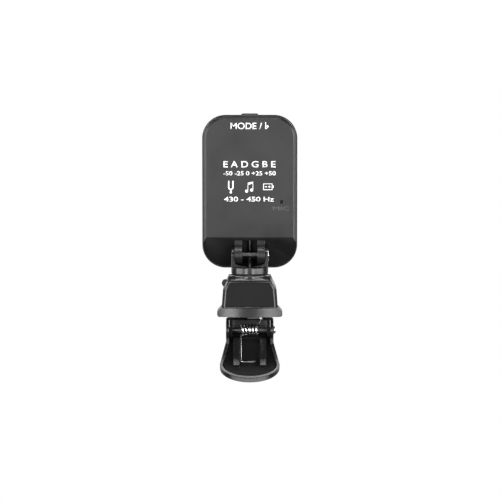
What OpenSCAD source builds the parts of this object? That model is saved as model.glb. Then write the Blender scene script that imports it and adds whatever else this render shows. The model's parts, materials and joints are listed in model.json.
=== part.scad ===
// Clip-on tuner: a display head on a tilt-and-swivel neck, carried by a sprung jaw clip.
// +Z is up, the rear of the head faces -Y, and the origin is the middle of the jaws' grip.

/* [Head] */
// Width of the head across its front rim
head_w = 38.6; // [35:0.1:46]
// Height of the head
head_h = 62; // [56:0.5:74]
// Depth of the head from display face to rear face
head_t = 11; // [10.5:0.1:14]
// Corner radius of the head's outline
head_corner_r = 9.5; // [6:0.5:11]
// Wall thickness of both head shells
shell_wall = 1.4; // [1.1:0.1:1.8]
// Step from the front rim in to the rear shell
rim_step = 0.6; // [0.2:0.1:0.9]
// Bevel round the rear face
rear_bevel = 1.1; // [0.6:0.1:1.6]
// Depth of the front shell up to the seam
seam_depth = 4; // [3.5:0.1:4.5]
// Height of the slanted lower part of the rear face
slant_h = 12.8; // [9:0.1:15]
// How far the slant takes off the depth at the bottom
slant_drop = 6.4; // [4:0.1:6.6]

/* [Display] */
// Width of the display window panel
window_w = 33; // [28:0.5:33]
// Height of the display window panel
window_h = 44; // [40:0.5:46]
// Thickness of the display window panel
window_t = 1.1; // [0.8:0.1:1.2]
// Width of the liquid crystal panel
lcd_w = 30; // [26:0.5:30]
// Height of the liquid crystal panel
lcd_h = 34; // [30:0.5:34]

/* [Battery and mode button] */
// Diameter of the coin cell
cell_d = 20; // [16:0.5:20]
// Thickness of the coin cell
cell_t = 3.2; // [2:0.1:3.2]
// Width of the mode button
button_w = 6.9; // [5:0.1:9]
// Depth of the mode button
button_t = 2.2; // [1.6:0.1:2.4]
// How far the mode button stands above the front rim
button_proud = 0.5; // [0.4:0.05:1]
// Travel of the mode button
button_travel = 0.35; // [0.2:0.05:0.4]
// Diameter of the microphone hole
mic_hole_d = 1.4; // [0.8:0.1:2]

/* [Neck] */
// Radius of the hinge knuckles on the head
knuckle_r = 3.9; // [3:0.1:4]
// Thickness of each knuckle
knuckle_t = 3; // [2:0.1:4]
// Gap between the two knuckles
knuckle_gap = 6.1; // [5:0.1:7]
// Thickness of each yoke arm
arm_t = 1.2; // [1:0.1:1.6]
// Radius of the rounded ends of the yoke arms
arm_r = 2.7; // [2.6:0.1:3.2]
// Diameter of the hinge screw
hinge_screw_d = 2; // [1.6:0.1:2.2]
// Diameter of the hinge screw's head
hinge_head_d = 4.8; // [3.6:0.1:4.8]
// Radius of the yoke's collar
collar_r = 7.4; // [7.2:0.1:8]
// Thickness of the yoke's collar
collar_t = 2.6; // [1.6:0.1:3]
// Diameter of the hollow swivel stem
stem_d = 7.2; // [6:0.1:8]
// Diameter of the lead hole in the stem
lead_hole_d = 3.8; // [3:0.1:4]

/* [Clip] */
// Distance from the jaw pivot forward to the middle of the grip
jaw_reach = 20; // [18:0.5:26]
// Distance from the jaw pivot back to the end of the thumb plate
thumb_reach = 15.5; // [15.5:0.1:20]
// Width of the thumb plate
thumb_w = 25.9; // [24:0.1:30]
// Thickness of the thumb plate
thumb_t = 3.5; // [2.8:0.05:4.2]
// Height of the thumb plate's underside over the jaw pivot
thumb_z = 6.85; // [6.7:0.05:8]
// Width of the jaws
jaw_w = 18.4; // [16:0.1:18.8]
// Width of the switch block at its foot
block_w = 22.4; // [22:0.1:24]
// Height of the switch block over the thumb plate
block_h = 12.05; // [11:0.05:15]
// Length of the switch block
block_l = 18; // [17:0.5:20]
// Wall thickness of the switch block
block_wall = 1.3; // [1:0.1:1.6]

/* [Lower lever] */
// Width of the lower lever's neck
neck_w = 19.2; // [19:0.1:21]
// Widest width of the lower lever
lever_w = 24; // [20:0.1:28]
// Length of the lower lever behind the jaw pivot
lever_l = 21.6; // [20:0.1:27]
// Slope of the lower lever below the horizontal
lever_slope = 52; // [46:1:60]
// Thickness of the lower lever's floor
lever_floor = 1.6; // [1.2:0.1:2]
// Thickness of the lower lever's side walls and ears
lever_wall = 1.2; // [1:0.1:1.2]
// Opening travel of the jaws, in degrees
jaw_open = 40; // [30:1:42]

/* [Spring and pads] */
// Diameter of the pivot pin
pin_d = 2.2; // [1.8:0.1:2.4]
// Diameter of the spring wire
wire_d = 0.85; // [0.6:0.05:0.9]
// Outer diameter of the spring coil
coil_d = 4.8; // [4.6:0.1:5.2]
// Number of turns of the spring
coil_turns = 6; // [4:1:7]
// Thickness of each rubber pad
pad_t = 2.4; // [2:0.1:2.8]
// Width of each rubber pad
pad_w = 16; // [12:0.5:16]
// Length of each rubber pad
pad_l = 12.5; // [9:0.5:12.5]

/* [Clearances] */
// Radial play of a part that turns on a shaft
run_gap = 0.05; // [0.02:0.01:0.08]
// Play between parts that are put together and stay
fit_gap = 0.05; // [0.02:0.01:0.1]
// Side play between parts that move past each other
side_gap = 0.2; // [0.1:0.05:0.3]

/* [Hidden] */
$fn = 64;
cut = 0.5;              // how far cutting shapes run past a surface

// Jaw clip
pivot_y = -jaw_reach;
pad_gap = 0.2;          // between the closed pads
pad_face = pad_gap / 2;
jaw_face = pad_face + pad_t;
jaw_t = 2.2;            // thickness of the jaws at their tips
jaw_tip_y = pad_l / 2 + 1.6;
jaw_corner_r = 4;
jaw_tip_edge = 0.6;     // chamfer at the jaws' tips
thumb_y = pivot_y - thumb_reach;
thumb_top = thumb_z + thumb_t;
thumb_bow = 2;          // how far the thumb edge bows out
thumb_corner_r = 3;
thumb_chamfer = 1.5;
thumb_low_edge = 0.6;
thumb_pad_l = 14;        // length of the thumb plate's rounded part
pin_r = pin_d / 2;
pin_head_r = pin_r + 0.5;
pin_head_t = 0.85;
upper_ear_r = 3;
upper_ear_t = 1.2;
lower_ear_r = 4.9;
lower_ear_foot_r = 3.75;
ear_out = neck_w / 2;
ear_in = ear_out - lever_wall;
upper_ear_out = ear_in - side_gap;
upper_ear_in = upper_ear_out - upper_ear_t;

// Spring coil
coil_r = (coil_d - wire_d) / 2;
coil_w = 1.2 * coil_turns;

// Lower lever, drawn flat about the pivot, then sloped
floor_top = -(upper_ear_r + 0.4);
floor_low = floor_top - lever_floor;
rim_top = -1.4;
lever_end = 6.45;       // length of the lever's rounded end
flare_from = 4.7;
lever_widest = lever_l - lever_end;
rib_in = (coil_w + wire_d) / 2 + 0.1;
rib_t = 2.5;
rib_top = -(pin_r + 0.15);
rib_from = 1.6;
rib_to = lever_l - 5.9;
pocket_to = lever_l - 7;
pocket_depth = 0.7;

// Plunger of the automatic switch and its cam on the ear
cam_travel = 1;
plunger_r = 0.5;
plunger_x = ear_out - lever_wall / 2;
plunger_gap = 0.15;
plunger_low = lower_ear_r + plunger_gap;
plunger_top = thumb_top + 3.2;
plunger_arm_t = 1;
plunger_arm_to = 5;
cam_sweep = jaw_open + 6;

// Switch block
block_y = thumb_y + 3.5;            // its front face
block_back = block_y + block_l;
block_mid = (block_y + block_back) / 2;
block_low = thumb_top;
block_top = thumb_top + block_h;
block_taper = 0.55;
shoulder_h = 4.9;
shoulder_w = 2.2;
block_bevel = 1.3;
block_roof = 2;
block_plan_from = 3;    // where the plate under the block starts, behind its front
neck_in_l = 3.5;        // length over which the plate narrows to the jaw
cover_t = 1.2;
cover_sunk = 0.25;
cover_edge = 1.45;
cover_sill = 0.3;
nub_r = 1.45;
nub_z = block_top - 2.55;
nub_x = block_w / 2 - 1.5;
nub_l = 3;

// Swivel
swivel_y = block_y + 8;
boss_r = collar_r + 0.4;
boss_t = 0.75;
boss_round = 0.6;
boss_top = block_top + boss_t;
disc_t = 0.25;
collar_low = boss_top + disc_t + 2 * fit_gap;
collar_top = collar_low + collar_t;
collar_edge = 0.3;      // chamfer round the collar's top
stem_r = stem_d / 2;
circlip_t = 0.5;
groove_depth = 0.6;
washer_t = 0.25;
roof_low = block_top - block_roof;
washer_low = roof_low - washer_t - fit_gap;
circlip_low = washer_low - circlip_t - fit_gap;
stem_low = circlip_low - 0.7;
lead_hole_r = lead_hole_d / 2;

// Tilt hinge
knuckle_in = knuckle_gap / 2;
knuckle_out = knuckle_in + knuckle_t;
arm_in = knuckle_out + side_gap / 2;
arm_out = arm_in + arm_t;
tilt_y = swivel_y;
tilt_z = collar_top + knuckle_r + 0.8;
saddle_h = 1.45;        // how far the saddle rises towards the arms
saddle_gap = 0.2;       // between the saddle and the knuckles
screw_r = hinge_screw_d / 2;
screw_head_r = hinge_head_d / 2;
screw_head_t = 0.75;
screw_recess = 0.4;
screw_edge = 0.2;       // chamfer round the screw's head
cross_l = 2.6;          // crossed recess in the screw's head
cross_w = 0.5;
cross_deep = 0.4;
insert_r = screw_r + 0.8;

// Head, drawn lying on its display face, then stood up
head_sunk = 1.1;        // how far the head's lower end hangs behind the collar
head_low = collar_top - head_sunk;
head_mid = head_low + head_h / 2;
// Rear face behind the hinge axis, far enough for the slant to clear the collar
head_back = collar_r + side_gap
    - slant_drop * (1 - (head_sunk - collar_edge) / slant_h);
head_rear_y = tilt_y + head_back;
head_front_y = head_rear_y + head_t;
rear_w = head_w - 2 * rim_step;
rear_h = head_h - 2 * rim_step;
rear_corner_r = head_corner_r - rim_step;
inner_w = rear_w - 2 * shell_wall;
inner_h = rear_h - 2 * shell_wall;
inner_corner_r = rear_corner_r - shell_wall;
slant_from = slant_h - head_h / 2;  // height where the slant starts
slant_angle = atan(slant_drop / slant_h);
slant_wall = shell_wall / cos(slant_angle);
axis_v = tilt_z - head_mid;         // hinge axis in the head's own frame
axis_d = head_front_y - tilt_y;
slot_top = axis_v + 5.6;
slot_low = axis_v - 2.6;
slot_wall = 1.2;
slot_floor_t = 0.6;

// Layers behind the display, as depths from the display face
lcd_mid = 3;                        // height of the display's middle
window_ledge = 0.6;
window_corner_r = 3;
front_edge = 0.8;       // bevel round the display face
face_t = window_t + window_ledge;
lcd_d = face_t + fit_gap;
lcd_t = 1.5;
guide_d = lcd_d + lcd_t + fit_gap;
guide_t = 1.2;
frame_wall = 1.2;
board_t = 0.8;
board_d = guide_d + guide_t + 0.5;
board_w = lcd_w + 3;
board_top = head_h / 2 - 3.9;
board_low = -head_h / 2 + 9.9;
notch_w = knuckle_gap + 2 * slot_wall + 0.6;
notch_top = slot_top + slot_wall + 0.3;
board_r = 5;
board_back = board_d + board_t;
lower_contact_t = 0.2;
lower_contact_r = 4;
upper_contact_t = 0.15;
contact_w = 4;
contact_leg_t = 0.2;
cell_rim_t = 0.5;       // the cell's smaller pole stands out by this
cell_step = 1.3;
cell_low = board_back + lower_contact_t + 2 * fit_gap;
cell_r = cell_d / 2;
cell_v = slant_from + cell_r + 2.8;
upper_contact_d = cell_low + cell_t + fit_gap;
post_r = 1.6;
post_foot = 0.3;                    // how deep the posts root in the face
post_hole_r = 0.75;
post_x = 12.5;
post_v = [lcd_mid + lcd_h / 2 + 4.5, lcd_mid - lcd_h / 2 - 4];
board_screw_r = 0.7;
board_screw_head_r = 1.4;
board_screw_head_t = 0.6;
mic_x = 12.8;
mic_v = cell_v + 1.4;
mic_r = 2;
mic_t = 1.4;
mic_gap = 0.1;
chips = [[-9, 15, 6, 6, 1], [7, 18, 9, 4, 1.2], [2, 12, 3, 2, 0.8], [-13, 8, 2, 4, 0.8]];

// Mode button
button_d = board_back + 0.7;        // depth where the button starts
button_gap = 0.1;
button_edge = 0.3;      // step round the button's outer end
flange_t = 0.8;
flange_over = 0.7;
button_top = head_h / 2 + button_proud;
flange_top = rear_h / 2 - shell_wall - 0.2;
flange_low = flange_top - flange_t;
switch_top = flange_low - button_travel - fit_gap;
switch_l = 3;
switch_w = 5;
actuator_w = 2;          // the mode switch's own plunger
actuator_t = 1.2;
actuator_up = 0.9;

// Spring legs and mesh
leg_l = 12.6;           // upper leg
lower_leg_l = 13.1;
hook_l = 5.7;
upper_leg_out = 1.2;    // how far the upper leg leans outwards
wire_sides = 6;
turn_steps = 16;

// Pads
groove_pitch = 2;
groove_w = 0.8;
groove_deep = 0.4;

// ---- Shared shapes ----

// Rectangle with round corners, kept as true arcs
module rounded_rect(w, h, r) {
    square([w, h - 2 * r], center = true);
    square([w - 2 * r, h], center = true);
    for (x = [-1, 1], y = [-1, 1])
        translate([x * (w / 2 - r), y * (h / 2 - r)]) circle(r);
}

// Trapezoid ridge along Y that narrows by the bevel towards its top
module ridge(w, l, bevel) {
    rotate([90, 0, 0])
        linear_extrude(height = l, center = true)
            polygon([[-w / 2, 0], [w / 2, 0], [w / 2 - bevel, bevel], [bevel - w / 2, bevel]]);
}

// Layer with round corners that narrows by the bevel towards its top
module bevelled_layer(w, h, r, bevel) {
    ridge(w, h - 2 * r, bevel);
    rotate([0, 0, 90]) ridge(h, w - 2 * r, bevel);
    for (x = [-1, 1], y = [-1, 1])
        translate([x * (w / 2 - r), y * (h / 2 - r), 0])
            cylinder(h = bevel, r1 = r, r2 = r - bevel);
}

// Extrudes a side view, drawn in Y and Z, across the width
module across(w) {
    rotate([90, 0, 90]) linear_extrude(height = w, center = true) children();
}

// Extrudes a front view, drawn in X and Z, from y0 back to y1
module lengthwise(y0, y1) {
    translate([0, y1, 0]) rotate([90, 0, 0]) linear_extrude(height = y1 - y0) children();
}

// Cylinder along X from x0 to x1
module rod(x0, x1, r) {
    translate([x0, 0, 0]) rotate([0, 90, 0]) cylinder(h = x1 - x0, r = r);
}

// Tube along Z
module ring(z0, z1, r_in, r_out) {
    translate([0, 0, z0]) difference() {
        cylinder(h = z1 - z0, r = r_out);
        translate([0, 0, -cut]) cylinder(h = z1 - z0 + 2 * cut, r = r_in);
    }
}

// Same thing on the left and on the right
module both_sides() {
    children();
    mirror([1, 0, 0]) children();
}

module at_pivot() {
    translate([0, pivot_y, 0]) children();
}

module at_swivel() {
    translate([0, swivel_y, 0]) children();
}

module at_tilt() {
    translate([0, tilt_y, tilt_z]) children();
}

// Stands up what is drawn lying on its display face
module in_head() {
    translate([0, head_front_y, head_mid]) rotate([90, 0, 0]) children();
}

// Slopes what is drawn as a flat lever
module in_lever() {
    at_pivot() rotate([lever_slope, 0, 0]) children();
}

function ease(t) = t * t * (3 - 2 * t);

// ---- Upper half of the clip ----

jaw_from = block_back;
jaw_to = -pad_l / 2 - 0.6;
jaw_steps = 10;
function jaw_line(high, low) = [for (i = [0 : jaw_steps])
    [jaw_from + (jaw_to - jaw_from) * i / jaw_steps, high + (low - high) * ease(i / jaw_steps)]];
function reversed(list) = [for (i = [len(list) - 1 : -1 : 0]) list[i]];

module upper_side_view() {
    polygon(concat(
        [[thumb_y, thumb_z]],
        jaw_line(thumb_z, jaw_face),
        [[jaw_tip_y, jaw_face], [jaw_tip_y, jaw_face + jaw_t - jaw_tip_edge],
            [jaw_tip_y - jaw_tip_edge, jaw_face + jaw_t]],
        reversed(jaw_line(thumb_top, jaw_face + jaw_t)),
        [[thumb_y, thumb_top]]));
}

module upper_plan() {
    bow_r = (pow(thumb_w / 2, 2) + pow(thumb_bow, 2)) / (2 * thumb_bow);
    intersection() {
        translate([0, thumb_y + bow_r]) circle(bow_r);
        translate([0, thumb_y + thumb_pad_l / 2])
            rounded_rect(thumb_w, thumb_pad_l, thumb_corner_r);
    }
    translate([0, block_mid + block_plan_from / 2])
        square([block_w, block_l - block_plan_from], center = true);
    polygon([[-block_w / 2, block_back - 1], [-block_w / 2, block_back],
        [-jaw_w / 2, block_back + neck_in_l], [jaw_w / 2, block_back + neck_in_l],
        [block_w / 2, block_back], [block_w / 2, block_back - 1]]);
    jaw_plan(block_back + 2);
}

// Plan of a jaw from y0 to its rounded tip
module jaw_plan(y0) {
    translate([0, (y0 + jaw_tip_y) / 2]) rounded_rect(jaw_w, jaw_tip_y - y0, jaw_corner_r);
    translate([0, (y0 + jaw_tip_y) / 2 - jaw_corner_r])
        square([jaw_w, jaw_tip_y - y0 - 2 * jaw_corner_r], center = true);
    translate([-jaw_w / 2, y0]) square([jaw_w, 2 * jaw_corner_r]);
}

// Front view of the thumb plate, with its upper edges chamfered
module thumb_front_view() {
    half = thumb_w / 2;
    polygon([[-half + thumb_low_edge, thumb_z], [half - thumb_low_edge, thumb_z],
        [half, thumb_z + thumb_low_edge], [half, thumb_top - thumb_chamfer],
        [half - thumb_chamfer, thumb_top], [half - thumb_chamfer, thumb_top + cut],
        [thumb_chamfer - half, thumb_top + cut], [thumb_chamfer - half, thumb_top],
        [-half, thumb_top - thumb_chamfer], [-half, thumb_z + thumb_low_edge]]);
}

module thumb_and_jaw() {
    difference() {
        intersection() {
            across(thumb_w + 2 * cut) upper_side_view();
            linear_extrude(height = thumb_top + cut) upper_plan();
        }
        difference() {
            lengthwise(thumb_y - cut, block_back)
                translate([-thumb_w, thumb_z - cut]) square([2 * thumb_w, thumb_t + 2 * cut]);
            lengthwise(thumb_y - 2 * cut, block_back + cut) thumb_front_view();
        }
    }
}

// Front view of the switch block, drawn smaller by the inset
module block_front_view(inset) {
    foot = block_w / 2 - inset;
    top = block_w / 2 - block_taper - inset;
    polygon([[-foot, block_low - cut], [foot, block_low - cut],
        [top, block_top - shoulder_h], [top - shoulder_w, block_top - inset],
        [shoulder_w - top, block_top - inset], [-top, block_top - shoulder_h]]);
}

module block_outside() {
    sliver = 0.01;
    intersection() {
        hull() {
            lengthwise(block_y, block_y + sliver) block_front_view(block_bevel);
            lengthwise(block_y + block_bevel, block_back - block_bevel) block_front_view(0);
            lengthwise(block_back - sliver, block_back) block_front_view(block_bevel);
        }
        translate([0, block_mid, block_low + block_h])
            cube([2 * block_w, 2 * block_l, 2 * block_h], center = true);
    }
}

// Half width of the block at its shoulders' foot, and at a height above that
block_side = block_w / 2 - block_taper;
shoulder_z = block_top - shoulder_h;
function shoulder_half(z) = block_side - shoulder_w * (z - shoulder_z) / shoulder_h;

// Space inside the block, as a front view
module block_room() {
    foot = block_w / 2 - block_wall;
    side = block_side - block_wall;
    top = shoulder_half(roof_low) - 1.1 * block_wall;
    polygon([[-foot, block_low], [foot, block_low], [side, shoulder_z],
        [top, roof_low], [-top, roof_low], [-side, shoulder_z]]);
}

// Opening that the cover fills, drawn smaller by the play
module cover_view(play) {
    foot = block_w / 2 - cover_edge - play;
    side = block_side - cover_edge - play;
    high = block_top - block_bevel - cover_edge / 2 - play;
    top = shoulder_half(high) - cover_edge - play;
    low = block_low + cover_sill + play;
    polygon([[-foot, low], [foot, low], [side, shoulder_z], [top, high], [-top, high],
        [-side, shoulder_z]]);
}

module upper_ear_view() {
    circle(upper_ear_r);
    polygon([[-upper_ear_r, 0], [upper_ear_r, 0], [upper_ear_r + 2.5, thumb_z + cut],
        [-upper_ear_r - 2.5, thumb_z + cut]]);
}

// Round-edged boss that the yoke's collar turns on
module swivel_boss() {
    at_swivel() translate([0, 0, block_top - cut]) rotate_extrude() {
        square([boss_r - boss_round, boss_t + cut]);
        square([boss_r, boss_t + cut - boss_round]);
        translate([boss_r - boss_round, boss_t + cut - boss_round]) circle(boss_round);
    }
}

module upper_arm() {
    color("#232426")
    difference() {
        union() {
            thumb_and_jaw();
            block_outside();
            swivel_boss();
            both_sides() at_pivot() translate([(upper_ear_in + upper_ear_out) / 2, 0, 0])
                across(upper_ear_t) upper_ear_view();
            translate([-nub_x, block_y + nub_l, nub_z]) rotate([-90, 0, 0])
                cylinder(h = nub_l, r = nub_r);
            board_shelf();
        }
        lengthwise(block_y + cover_t, block_back - block_wall) block_room();
        lengthwise(block_y - cut, block_y + cover_sunk + cover_t) cover_view(0);
        at_swivel() translate([0, 0, roof_low - cut])
            cylinder(h = block_roof + boss_t + 2 * cut, r = stem_r + run_gap);
        at_pivot() rod(-upper_ear_out - cut, upper_ear_out + cut, pin_r + run_gap);
        translate([plunger_x, pivot_y, thumb_z - cut])
            cylinder(h = thumb_t + 2 * cut, r = plunger_r + run_gap);
    }
}

module block_cover() {
    color("#141416")
    lengthwise(block_y + cover_sunk, block_y + cover_sunk + cover_t) cover_view(fit_gap);
}

// Ridged rubber pad, its gripping face up
module pad() {
    difference() {
        linear_extrude(height = pad_t) rounded_rect(pad_w, pad_l, 2);
        for (y = [groove_pitch - pad_l / 2 : groove_pitch : pad_l / 2 - groove_w])
            translate([-pad_w, y - groove_w / 2, pad_t - groove_deep])
                cube([2 * pad_w, groove_w, 2 * groove_deep]);
    }
}

module upper_pad() {
    color("#3a3a3c")
    translate([0, 0, jaw_face]) mirror([0, 0, 1]) pad();
}

module lower_pad() {
    color("#3a3a3c")
    translate([0, 0, -jaw_face]) pad();
}

// ---- Inside the switch block ----

switch_body_t = 1;
switch_button_t = 0.6;
switch_button_r = 0.8;
switch_body_w = 4;
auto_switch_low = plunger_top + plunger_arm_t + fit_gap;
switch_board_z = auto_switch_low + switch_button_t + switch_body_t;
switch_board_t = 0.8;
switch_board_w = 12;
switch_board_l = 8.6;
switch_board_x = 2;
peg_r = 0.6;
shelf_t = 1.6;
shelf_l = 2;
shelf_y = block_back - block_wall - shelf_l;

module at_pegs() {
    for (x = [-3, 4]) translate([switch_board_x + x, shelf_y + 1, 0]) children();
}

// Shelf inside the block's far wall, with two pegs that hold the switch board
module board_shelf() {
    translate([switch_board_x - switch_board_w / 2, shelf_y, switch_board_z - shelf_t])
        cube([switch_board_w, shelf_l + cut, shelf_t]);
    at_pegs() translate([0, 0, switch_board_z - cut])
        cylinder(h = switch_board_t + 0.4 + cut, r = peg_r);
}

module switch_board() {
    color("#1f6b3a")
    translate([0, 0, switch_board_z]) linear_extrude(height = switch_board_t) difference() {
        translate([switch_board_x, shelf_y + 1.6 - switch_board_l / 2])
            rounded_rect(switch_board_w, switch_board_l, 0.5);
        at_pegs() circle(peg_r + fit_gap);
    }
}

// Push switch under the board; its button faces the plunger
module auto_on_switch() {
    color("#b9bcc0")
    translate([plunger_arm_to + 1, pivot_y, 0]) {
        translate([-switch_body_w / 2, -switch_body_w / 2, auto_switch_low + switch_button_t])
            cube([switch_body_w, switch_body_w, switch_body_t]);
        translate([0, 0, auto_switch_low]) cylinder(h = switch_button_t, r = switch_button_r);
    }
}

piezo_r = 5;
piezo_t = 0.4;

module piezo_disc() {
    color("#c9a44a")
    at_swivel() translate([0, 0, thumb_top]) cylinder(h = piezo_t, r = piezo_r);
}

// Pin through the thumb plate that rides on the lower lever's cam
module switch_plunger() {
    color("#e4e2da") {
        translate([plunger_x, pivot_y, plunger_low + plunger_r]) {
            sphere(plunger_r);
            cylinder(h = plunger_top - plunger_low - plunger_r + plunger_arm_t, r = plunger_r);
        }
        translate([plunger_arm_to, pivot_y - plunger_r, plunger_top])
            cube([plunger_x - plunger_arm_to, 2 * plunger_r, plunger_arm_t]);
    }
}

// ---- Lower half of the clip ----

// Half width of the lever at distance s behind the pivot
function lever_half(s) =
    s < flare_from ? neck_w / 2 :
    s < lever_widest ? neck_w / 2 + (lever_w - neck_w) / 2
        * (s - flare_from) / (lever_widest - flare_from) :
    lever_w / 2 * sqrt(max(0, 1 - pow((s - lever_widest) / lever_end, 2)));

function lever_edge(inset) = concat(
    [for (s = [0, flare_from / 2]) [lever_half(s) - inset, -s]],
    [for (i = [0 : 9]) let (s = flare_from + (lever_widest - flare_from) * i / 9)
        [lever_half(s) - inset, -s]],
    [for (a = [7.5 : 7.5 : 90]) [(lever_w / 2 - inset) * cos(a),
        -lever_widest - (lever_end - inset) * sin(a)]]);

module lever_plan(inset) {
    edge = lever_edge(inset);
    polygon(concat(edge, reversed([for (p = edge) if (p[0] > 0.001) [-p[0], p[1]]])));
}

// Cam on the ear: its radius falls steadily through the jaws' opening
module cam_view() {
    polygon(concat([[0, 0]], [for (a = [0 : 4 : cam_sweep])
        let (r = lower_ear_r - cam_travel * min(a, jaw_open) / jaw_open)
        [-r * sin(a), r * cos(a)]]));
}

// Side view of an ear about the pivot
module lower_ear_view() {
    circle(lower_ear_foot_r);
    cam_view();
    intersection() {
        circle(lower_ear_r);
        translate([0, -lower_ear_r]) square([lower_ear_r, 2 * lower_ear_r]);
    }
    rotate(lever_slope) polygon([[lower_ear_foot_r, floor_low], [lower_ear_foot_r, 0],
        [0, 1], [-2, 1], [-flare_from - 1, rim_top], [-flare_from - 1, floor_low]]);
    polygon([[0, -lower_ear_r + 0.5], [lower_ear_r, 0], [jaw_root, -jaw_face - 0.8],
        [jaw_root, -jaw_face - jaw_t - 1.2], [0, -jaw_face - jaw_t - 3.2]]);
}

jaw_root = 9;           // where the ears fade into the jaw, ahead of the pivot

// Side view of the lower jaw about the pivot
module lower_jaw_view() {
    polygon([[2.6, -jaw_face - 1.1], [jaw_reach + jaw_to, -jaw_face],
        [jaw_reach + jaw_tip_y, -jaw_face],
        [jaw_reach + jaw_tip_y, -jaw_face - jaw_t + jaw_tip_edge],
        [jaw_reach + jaw_tip_y - jaw_tip_edge, -jaw_face - jaw_t],
        [jaw_reach + jaw_to, -jaw_face - jaw_t - 0.3], [2.6, -jaw_face - jaw_t - 2.4]]);
}

module lever_tray() {
    linear_extrude(height = rim_top - floor_low) lever_plan(0);
}

module lower_arm() {
    color("#1b1c1e")
    difference() {
        union() {
            in_lever() difference() {
                translate([0, 0, floor_low]) lever_tray();
                translate([0, 0, floor_top])
                    linear_extrude(height = rim_top - floor_top + cut) lever_plan(lever_wall);
                translate([-ear_in, -cut, floor_top]) cube([2 * ear_in, 2 * cut, 10]);
                translate([-rib_in, -pocket_to, floor_top - pocket_depth])
                    cube([2 * rib_in, pocket_to - rib_from, 2 * pocket_depth]);
            }
            in_lever() translate([-ear_out, -cut, floor_low])
                cube([neck_w, lower_ear_foot_r, lever_floor]);
            both_sides() at_pivot() translate([plunger_x, 0, 0])
                across(lever_wall) lower_ear_view();
            both_sides() in_lever() translate([rib_in + rib_t / 2, 0, 0])
                across(rib_t) rib_view();
            intersection() {
                at_pivot() across(neck_w) lower_jaw_view();
                translate([0, 0, -20]) linear_extrude(height = 20) jaw_plan(pivot_y + 2);
            }
        }
        at_pivot() rod(-ear_out - cut, ear_out + cut, pin_r + fit_gap / 2);
    }
}

// Side view of a spring guide rib, round at its upper end
module rib_view() {
    h = rib_top - floor_top;
    translate([-rib_to, floor_top - cut]) square([rib_to - rib_from - h, h + cut]);
    translate([-rib_from - h, floor_top]) intersection() {
        circle(h);
        translate([0, -cut]) square([h, h + cut]);
    }
    translate([-rib_from - h - cut, floor_top - cut]) square([h + cut, cut]);
}

module pivot_pin() {
    color("#8d9096")
    at_pivot() {
        rod(-ear_out, ear_out + fit_gap, pin_r);
        rod(ear_out + fit_gap, ear_out + fit_gap + pin_head_t - 0.25, pin_head_r);
        rod(ear_out + fit_gap, ear_out + fit_gap + pin_head_t, pin_head_r - 0.25);
    }
}

// ---- Torsion spring ----

// Directions of the two legs from the coil, in degrees from +Y towards +Z
upper_leg_dir = 160;
lower_leg_dir = 180 + lever_slope + 7.4;
start_angle = lower_leg_dir - 270;
coil_sweep = 360 * (coil_turns - 1) + upper_leg_dir - 90 - start_angle;
function on_coil(t) = let (a = start_angle + coil_sweep * t)
    [-coil_w / 2 + coil_w * t, coil_r * cos(a), coil_r * sin(a)];
function along(p, dir, d) = [p[0], p[1] + d * cos(dir), p[2] + d * sin(dir)];
coil_points = [for (i = [0 : coil_turns * turn_steps]) on_coil(i / (coil_turns * turn_steps))];
first = coil_points[0];
last = coil_points[len(coil_points) - 1];
lower_end = along(first, lower_leg_dir, lower_leg_l);
upper_end = along(last, upper_leg_dir, leg_l) + [upper_leg_out, 0, 0];
spring_path = concat(
    [lower_end + [hook_l, 0, 0], lower_end + [1, 0, 0], lower_end + [0.3, 0, 0],
        along(lower_end, lower_leg_dir, -0.7)],
    coil_points,
    [along(upper_end, upper_leg_dir, -0.7), upper_end - [0.3, 0, 0],
        upper_end - [1, 0, 0], upper_end - [hook_l, 0, 0]]);

function unit(v) = v / norm(v);
function heading(path, i) =
    unit(path[min(i + 1, len(path) - 1)] - path[max(i - 1, 0)]);

// Side directions carried along the path so that the tube doesn't twist
function carried(path, i, side) = i == len(path) ? [] :
    let (h = heading(path, i), s = unit(side - (side * h) * h))
    concat([s], carried(path, i + 1, s));

// Closed tube of round-ish section along a path
module tube(path, r, sides) {
    side = carried(path, 0, [0, 1, 0.1]);
    points = [for (i = [0 : len(path) - 1]) let (h = heading(path, i), b = cross(h, side[i]))
        for (k = [0 : sides - 1]) let (a = 360 * k / sides)
            path[i] + r * (cos(a) * side[i] + sin(a) * b)];
    last_ring = (len(path) - 1) * sides;
    faces = concat(
        [[for (k = [0 : sides - 1]) k]],
        [for (i = [0 : len(path) - 2], k = [0 : sides - 1])
            [i * sides + k, (i + 1) * sides + k,
                (i + 1) * sides + (k + 1) % sides, i * sides + (k + 1) % sides]],
        [[for (k = [sides - 1 : -1 : 0]) last_ring + k]]);
    polyhedron(points, faces, convexity = 10);
}

module torsion_spring() {
    color("#c8cacd")
    at_pivot() tube(spring_path, wire_d / 2, wire_sides);
}

// ---- Neck ----

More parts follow.
